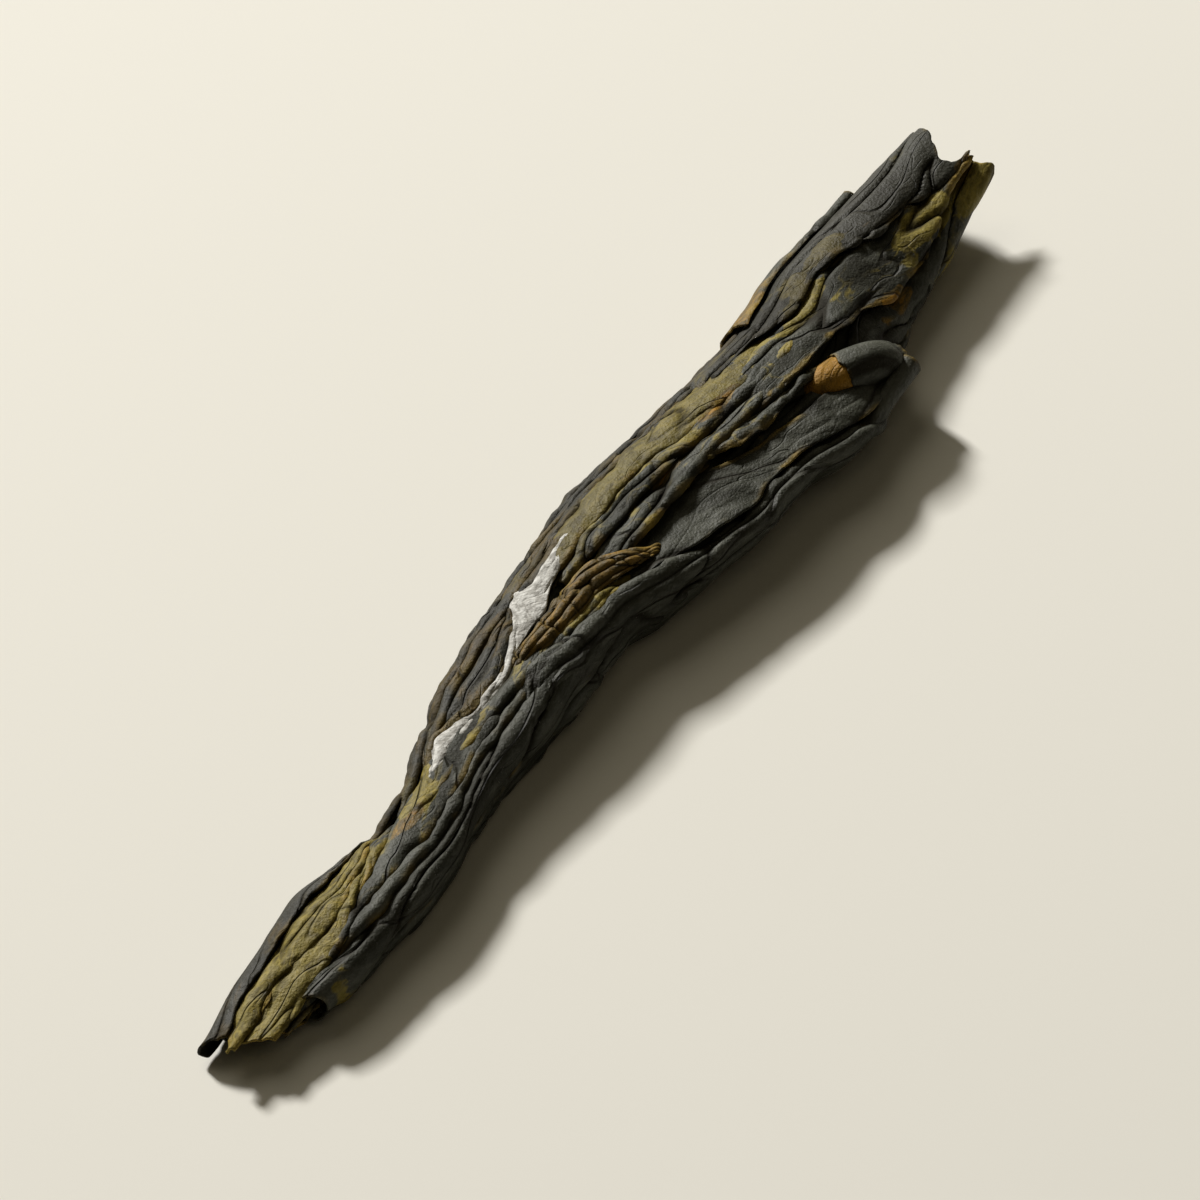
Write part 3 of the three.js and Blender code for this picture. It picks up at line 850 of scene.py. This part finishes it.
def between(name, first, second, start, stop, **sheet):
    """A sheet between two lines."""
    ends = {"left": line(first), "right": line(second), "from": start, "to": stop}
    return {"name": name, **ends, **sheet}


def shifted(one, share, other):
    """A line that share of the way from one line to another, at their keys."""
    first, second = line(one), line(other)
    keys = sorted({key[0] for value in (first, second) if isinstance(value, list) for key in value})
    return [(x, at(first, x) + (at(second, x) - at(first, x)) * share) for x in keys]


# %% [markdown]
# ## The leaves at the foot
# The leaves are laid from the left side to the right one, first at the foot, then along the middle, and
# last at the tip. olive, brown and the third stain say how much of each colour a leaf shows along its way.
# The third stain is bloom where it is above 0; below 0 it is painted shade that darkens the leaves on the
# lit left side.
#
# At the foot the frond was cut off at a slant, so its leaves end open there. Two broad olive ones lie
# nearly flat beside a narrow dark edge, and the right one is rolled up.

# %% Leaves at the foot
def dry(pleats, height, **others):
    """The sizes of a leaf with so many pleats of that height, for the tree. Lengths are in millimetres."""
    sizes = {"Pleats": pleats, "Pleat height": height * MM}
    for name, length in others.items():
        sizes[name.replace("_", " ").capitalize()] = length * MM
    return sizes


def sharp(pleats):
    """The sizes of a leaf with so many sharp pleats that lean over."""
    return {**dry(pleats, 0.55, crumple=0.2), "Pleat lean": 0.6}


CALM = dry(1.0, 0.1, crumple=0.16, crease_depth=0.22)

FOOT_LEAVES = [
    between("foot_left_edge", 1.4, "left_crease", -0.8, 46, lifts=(-0.1, 0.1), open_foot=True,
            sizes={**CALM, "Fray": 0.6 * MM}, olive=0.2, brown=[(0, 0.6), (48, 0.45)], bloom=-0.6),
    between("olive_panel", "left_crease", "olive_inner", -3.6, 36, lifts=(-0.35, 0.25),
            belly=0.25, open_foot=True, hook_right=(50, 0.2), sizes=CALM,
            olive=[(0, 1.15), (32, 1.1), (38, 0.4)]),
    between("olive_panel_low", "olive_inner", "olive_edge", -2.2, 37, lifts=(-0.25, 0.2),
            belly=0.15, open_foot=True, hook_right=(60, 0.25), sizes=CALM,
            olive=[(0, 1.15), (26, 1.0), (36, 0.4)]),
    between("grey_ridge_upper", "olive_edge", "grey_crease", 8, 60, lifts=(-0.55, 0.25),
            belly=0.2, hook_right=(80, 0.3), sizes=sharp(2.0), olive=[(8, 0.4), (58, 0.2)]),
    between("grey_ridge_lower", "grey_crease", "roll_crease", 12, 70, lifts=(-0.5, -0.35),
            belly=0.45, sizes=sharp(2.0)),
    between("right_roll", "roll_crease", -1.0, 4.5, 76, lifts=(-0.4, -0.3), belly=1.2,
            open_foot=True, hook_left=([(3, 270), (30, 120), (60, 60)], 0.6),
            hook_right=([(3, 200), (40, 120), (78, 80)], 1.4), sizes=dry(2.0, 0.3, crumple=0.25),
            olive=[(0, 0.3), (12, 0)]),
]

# %% [markdown]
# ## The leaves along the middle
# Sharp plies stand on the left side. The white ribbon of bloom lies over them and a brown pucker
# beside it. Further on, an olive crest runs over the crown, and to its right the leaf sinks into a
# hollow that the rolled rim closes.

# %% Leaves along the middle
LOW = -0.4  # the lift of an edge that tucks under its neighbour

MIDDLE_LEAVES = [
    between("left_ply_1", 1.4, 0.88, 30, 124, lifts=(-0.3, 0.3), hook_right=(60, 0.2),
            sizes=sharp(6.0), olive=0.3, brown=0.55, bloom=-0.75),
    between("left_ply_2", 0.92, 0.76, 38, 122, lifts=(LOW, 0.3), hook_right=(60, 0.2),
            sizes=sharp(4.0), olive=0.3, brown=0.6, bloom=-0.7),
    between("left_ply_3", 0.82, shifted("olive_left", 0.35, 0.85), 44, 120, lifts=(LOW, 0.25),
            hook_right=(60, 0.2), sizes=sharp(2.0), olive=0.35, brown=0.55, bloom=-0.65),
    between("left_ply_4", shifted("olive_left", 0.45, 0.9), shifted("olive_left", -0.06, -1), 82,
            120, lifts=(LOW, 0.15), sizes=sharp(2.0), olive=0.45, brown=0.45, bloom=-0.55),
    between("bloom_ply", 0.78, "bloom_left", 42, 88, lifts=(LOW, 0.15), hook_right=(50, 0.2),
            sizes=sharp(6.0), olive=0.35, brown=0.6, bloom=-0.6),
    between("bloom_ribbon", shifted("bloom_left", -0.08, "bloom_right"),
            shifted("bloom_right", -0.1, "bloom_left"), 42, 84, lifts=(0.0, 0.0), belly=0.1, taper=2.0,
            sizes=dry(2.0, 0.1, crease_depth=0.1, crumple=0.2), bloom=1.4),
    between("dark_ridge", "bloom_right", "ridge_crease", 32, 72, lifts=(-0.5, 0.25), belly=0.2,
            hook_right=(80, 0.3), sizes=sharp(2.0), olive=0.4, brown=0.3),
    between("long_ridge", "ridge_crease", "rim", 38, 82, lifts=(-0.4, 0.1), belly=0.3,
            hook_right=(80, 0.3), sizes=sharp(3.0), olive=[(38, 0.1), (58, 0.5), (82, 0.75)]),
    between("brown_pucker", "brown_top", shifted("rim", 0.15, 0.2), 60, 87, lifts=(0.3, 0.1),
            belly=0.5, sizes=dry(7.0, 0.4, crumple=0.9, crease_length=4), brown=1.3),
    between("olive_crest", shifted("olive_left", 0.35, 0.9), "olive_right", 74, 122,
            lifts=(0.1, 0.3), belly=0.1, hook_right=(60, 0.25), sizes=CALM,
            olive=[(74, 0.75), (90, 0.8), (104, 0.7), (116, 0.45)], bloom=[(74, -0.5), (112, -0.3)]),
    between("dark_ply_upper", "olive_right", shifted("olive_right", 0.45, "deep_gap"), 76, 126,
            lifts=(-0.45, 0.3), belly=0.1, hook_right=(60, 0.2), sizes=sharp(2.0), olive=0.4),
    between("dark_ply_lower", shifted("olive_right", 0.45, "deep_gap"), "deep_gap", 78, 124,
            lifts=(-0.5, 0.2), belly=0.1, hook_right=(90, 0.25), sizes=sharp(2.0), olive=0.3, brown=0.35),
    between("hollow_panel", "hollow_top", "rim", 79, 126, lifts=(-1.0, 0.1), belly=-0.4,
            taper=5.0, sizes=dry(1.0, 0.1, crumple=0.4, crease_depth=0.08)),
    between("ledge", "deep_gap", "ledge_edge", 94, 120, lifts=(-0.7, 0.0), belly=0.2, taper=4.0,
            sizes=dry(2.0, 0.3, frill=0.5, crease_depth=0.2), olive=0.35),
    between("rim_rope", shifted("rim", -0.03, 1), shifted("rim", 1.2, -1), 56, 124,
            lifts=(0.3, 0.1), belly=0.7, hook_left=(200, 0.5), hook_right=(80, 0.5),
            sizes=dry(6.0, 0.5, frill=0.5, crease_length=12)),
    between("right_flank", shifted("rim", 0.8, -1), -1.5, 58, 132, lifts=(-0.4, 0.0),
            sizes=sharp(3.0)),
    between("foot_flank", -0.9, -1.4, 7, 74, lifts=(-0.4, 0.0), sizes=sharp(3.0)),
]

# %% [markdown]
# ## The leaves at the tip
# Three broad leaves break off raggedly here. cut says how far each falls short of its end, from its
# left side to its right. A loose flap stands off at the left edge.

# %% Leaves at the tip
BROAD = dry(1.6, 0.4, crumple=0.22, crease_depth=0.45, fray=0.7)

TIP_LEAVES = [
    between("tip_left", 1.3, "panel_crease", 106, 162, lifts=(-0.3, 0.3), belly=0.1,
            open_tip=True, hook_right=(60, 0.25), cut=[(0, 5), (0.3, 2.5), (0.5, 0.6), (0.57, 0.8), (0.63,
            2.2), (0.7, 3.6), (0.82, 5.0), (0.9, 3.2), (1, 0.7)], sizes=BROAD,
            olive=[(106, 0.5), (120, 0.2)], bloom=[(106, -0.7), (150, -0.7), (160, -0.5)]),
    between("tip_middle", "panel_crease", "overhang", 108, 162, lifts=(-0.5, 0.4), belly=0.25,
            open_tip=True, hook_right=(50, 0.2), cut=[(0, 0.6), (0.4, 0.5), (0.6, 1.6), (1, 1.2)],
            sizes=BROAD, olive=[(108, 0.5), (118, 0.2), (140, 0.35)], brown=0.2),
    between("tip_flank", "overhang", -1.35, 122, 163.4, lifts=(-0.7, 0.0), belly=0.2,
            open_tip=True,
            cut=[(0, 1.8), (0.2, 2.6), (0.4, 1.0), (0.5, 0), (0.56, 0.4), (0.7, 3), (1, 8)], sizes=BROAD,
            olive=[(150, 0.2), (158, 0.9)], brown=[(122, 0.35), (140, 0.2)]),
    between("flap", 1.12, "flap_edge", 122, 149,
            lifts=([(122, 0.5), (149, 0.5)], [(122, 0.8), (130, 1.1), (149, 1.3)]), belly=0.3,
            open_foot=True, open_tip=True, hook_right=([(122, 60), (140, 90), (149, 280)], 0.45),
            sizes=dry(3.0, 0.3, fray=0.8), brown=[(122, 0.8), (135, 0.45)]),
]

# %% [markdown]
# ## Inside and underneath
# The gaps between the leaves would look into nothing, so tightly pleated leaf is laid a little under
# the skin. Three pleated sheets close the underside.

# %% The gathered leaf inside, which shows only in the gaps
INNER_LEAVES = [
    between(name, first, second, 1, 158, lifts=(-1.9, -1.9), open_foot=True, open_tip=True,
            sizes=dry(pleats, 0.9, fray=1.2), olive=0.25, brown=0.3)
    for name, first, second, pleats in (
        ("inner_left", 1.0, 0.1, 12.0), ("inner_right", 0.15, -1.1, 14.0))
]
UNDER_LEAVES = [
    between("under_left", 1.7, 0.99, 2, 157, lifts=(-0.1, -0.2), sizes=sharp(6.0)),
    between("under_right", -0.99, -1.7, 6, 157, lifts=(-0.2, -0.1), sizes=sharp(6.0)),
    between("under_middle", 1.99, 1.5, 3, 156, lifts=(-0.1, -0.1), sizes=sharp(6.0)),
]

# %% [markdown]
# ## Drying them all
# Each leaf's number in the list is its seed, so no two fold alike and every run gives the same strand.

# %% Lay and dry the leaves
every_leaf = FOOT_LEAVES + MIDDLE_LEAVES + TIP_LEAVES + INNER_LEAVES + UNDER_LEAVES
for number, leaf in enumerate(every_leaf):
    piece_of(leaf["name"], [leaf_from(leaf, number)])
print(len(every_leaf), "leaves")


# %% [markdown]
# ## The knob and the curl
# Two small parts stand off the bundle. The knob is a rolled leaf end with its amber inside showing,
# and the curl is the rim's rolled end. Neither follows the skin, so their rows of points are laid
# round an axis of their own before they are dried like the rest.

# %% Rows round an axis
def rows_round(start, stop, radius, turns, tighten=0.0, steps=14, around=26):
    """Rows round the axis from start to stop. radius(t) is given along it, turns are its first and last
    angle in degrees from the right side over the top, and tighten draws the section in on its way."""
    start, stop = Vector(start), Vector(stop)
    way = (stop - start).normalized()
    side = way.cross(Vector((0, 0, 1))).normalized()
    up = side.cross(way)
    rows = []
    for step in range(steps + 1):
        t = step / steps
        middle = start.lerp(stop, t)
        row = []
        for i in range(around + 1):
            share = i / around
            angle = math.radians(turns[0] + (turns[1] - turns[0]) * share)
            reach = radius(t) * (1 - tighten * share)
            row.append(middle + (side * math.cos(angle) + up * math.sin(angle)) * reach)
        rows.append(row[::-1])
    return rows


# %% The knob
KNOB_FROM = (116.6, -5.3, 7.5)
KNOB_TO = (129.0, -10.6, 6.1)
KNOB_RADIUS = 2.5
AMBER = 2.0  # as brown, a value past 1.5 is read as amber by the material


def knob_radius(t):
    return KNOB_RADIUS * math.sqrt(max(0.02, 1 - abs(2 * t - 1) ** 2.6)) * (0.95 + 0.1 * t)


def amber(point, share):
    return (0, AMBER, 0)


def plain(point, share):
    return (0.1, 0.2, 0)


def sheath_radius(t):
    return knob_radius(t) * 1.05 + 0.08


SHEATH_STARTS = 5  # rows of the amber core that the sheath leaves bare
SMOOTH = dry(2.0, 0.1, crumple=0.16, crease_depth=0.03)

core_rows = rows_round(KNOB_FROM, KNOB_TO, knob_radius, (-90, 270))
sheath_rows = rows_round(KNOB_FROM, KNOB_TO, sheath_radius, (-40, 200))[SHEATH_STARTS:]
core = sheet_object("knob_core", core_rows, amber)
sheath = sheet_object("knob_sheath", sheath_rows, plain)
piece_of("knob", [dried(core, 61, **SMOOTH), dried(sheath, 62, **SMOOTH, Fray=1.2 * MM)])

# %% The curl
CURL_FROM = (116.5, -13.1, 5.0)
CURL_TO = (128.6, -12.0, 5.6)


def curl_radius(t):
    return 0.9 + 0.4 * t


def curl_stain(point, share):
    return (0.1, 0.1, 0)


curl_rows = rows_round(CURL_FROM, CURL_TO, curl_radius, (-150, 300), tighten=0.4)
curl = sheet_object("curl", curl_rows, curl_stain)
piece_of("curl", [dried(curl, 63, **{**SMOOTH, "Pleat height": 0.3 * MM, "Frill": 0.3 * MM})])

# %% The floor
FLOOR_REACH = 3.0  # metres


def floor_plane():
    mesh = bpy.data.meshes.new("floor")
    corners = [(x * FLOOR_REACH, y * FLOOR_REACH, 0) for x, y in ((-1, -1), (1, -1), (1, 1), (-1, 1))]
    mesh.from_pydata(corners, [], [(0, 1, 2, 3)])
    made = bpy.data.objects.new("floor", mesh)
    bpy.context.scene.collection.objects.link(made)
    pale = bpy.data.materials.new("pale_floor")
    pale.use_nodes = True
    shader = pale.node_tree.nodes["Principled BSDF"]
    shader.inputs["Base Color"].default_value = (0.78, 0.765, 0.70, 1)
    shader.inputs["Roughness"].default_value = 0.9
    mesh.materials.append(pale)


floor_plane()

# %% [markdown]
# ## Light
# The photograph has one strong lamp at the left, fairly low, which throws a long shadow with a firm
# edge. A small area light stands for it. A wide, weak one above it softens the edge of the shadow,
# and a fill from the other side and a faint warm world keep the shadow from turning black. Each light
# is placed by its direction from the strand.

# %% The lights
def area_light(name, azimuth, elevation, distance, size, power, colour):
    """A square light that looks at the strand from a compass direction in the strand's frame."""
    lamp = bpy.data.lights.new(name, "AREA")
    lamp.size = size
    lamp.energy = power
    lamp.color = colour
    made = bpy.data.objects.new(name, lamp)
    turn, rise = math.radians(azimuth), math.radians(elevation)
    level = math.cos(rise)
    way = Vector((math.cos(turn) * level, math.sin(turn) * level, math.sin(rise)))
    made.location = way * distance
    made.rotation_euler = (-made.location).to_track_quat("-Z", "Y").to_euler()
    bpy.context.scene.collection.objects.link(made)


area_light("key", 66, 31, 2.6, 0.36, 110.0, (1.0, 0.98, 0.95))
area_light("soft", 66, 48, 1.8, 1.3, 5.2, (1.0, 0.92, 0.74))
area_light("fill", -100, 65, 1.4, 1.0, 0.55, (1.0, 0.86, 0.58))
world = bpy.data.worlds.new("studio")
world.use_nodes = True
background = world.node_tree.nodes["Background"]
background.inputs["Color"].default_value = (1.0, 0.87, 0.60, 1)
background.inputs["Strength"].default_value = 0.030
bpy.context.scene.world = world

# %% [markdown]
# ## Camera
# The camera's place was worked out from how the long sides of the surface under the strand run
# together in the photograph. The picture shows only the part of the frame round the strand, so the
# lens is as much longer.

# %% The camera
PHOTO_FOCAL = 5993.0  # the photograph's focal length in pixels, where its frame is 1200 wide
WINDOW = 560.0  # the side in those pixels of the square round the strand that the picture shows
CAMERA_PLACE = Vector((-795.7, -585.2, 1000.3))  # from the foot, in millimetres
LOOKS_AT = Vector((79.1, -0.86, 4.0))
ROLL = -3.05  # degrees
SENSOR = 36.0  # millimetres

camera_data = bpy.data.cameras.new("camera")
camera = bpy.data.objects.new("camera", camera_data)
bpy.context.scene.collection.objects.link(camera)
camera.location = CAMERA_PLACE * MM + TO_FRAME
aim = (LOOKS_AT - CAMERA_PLACE).to_track_quat("-Z", "Y").to_matrix().to_4x4()
roll = Matrix.Rotation(math.radians(ROLL), 4, "Z")
camera.matrix_world = Matrix.Translation(camera.location) @ aim @ roll
camera_data.sensor_width = SENSOR
camera_data.lens = PHOTO_FOCAL / WINDOW * SENSOR
camera_data.clip_end = 20
bpy.context.scene.camera = camera
bpy.context.scene.view_settings.view_transform = "Standard"
print(f"lens {camera_data.lens:.0f} mm")

# %% [markdown]
# ## Finish
# The view layer is brought up to date at the end.

# %% Bring the view layer up to date
bpy.context.view_layer.update()
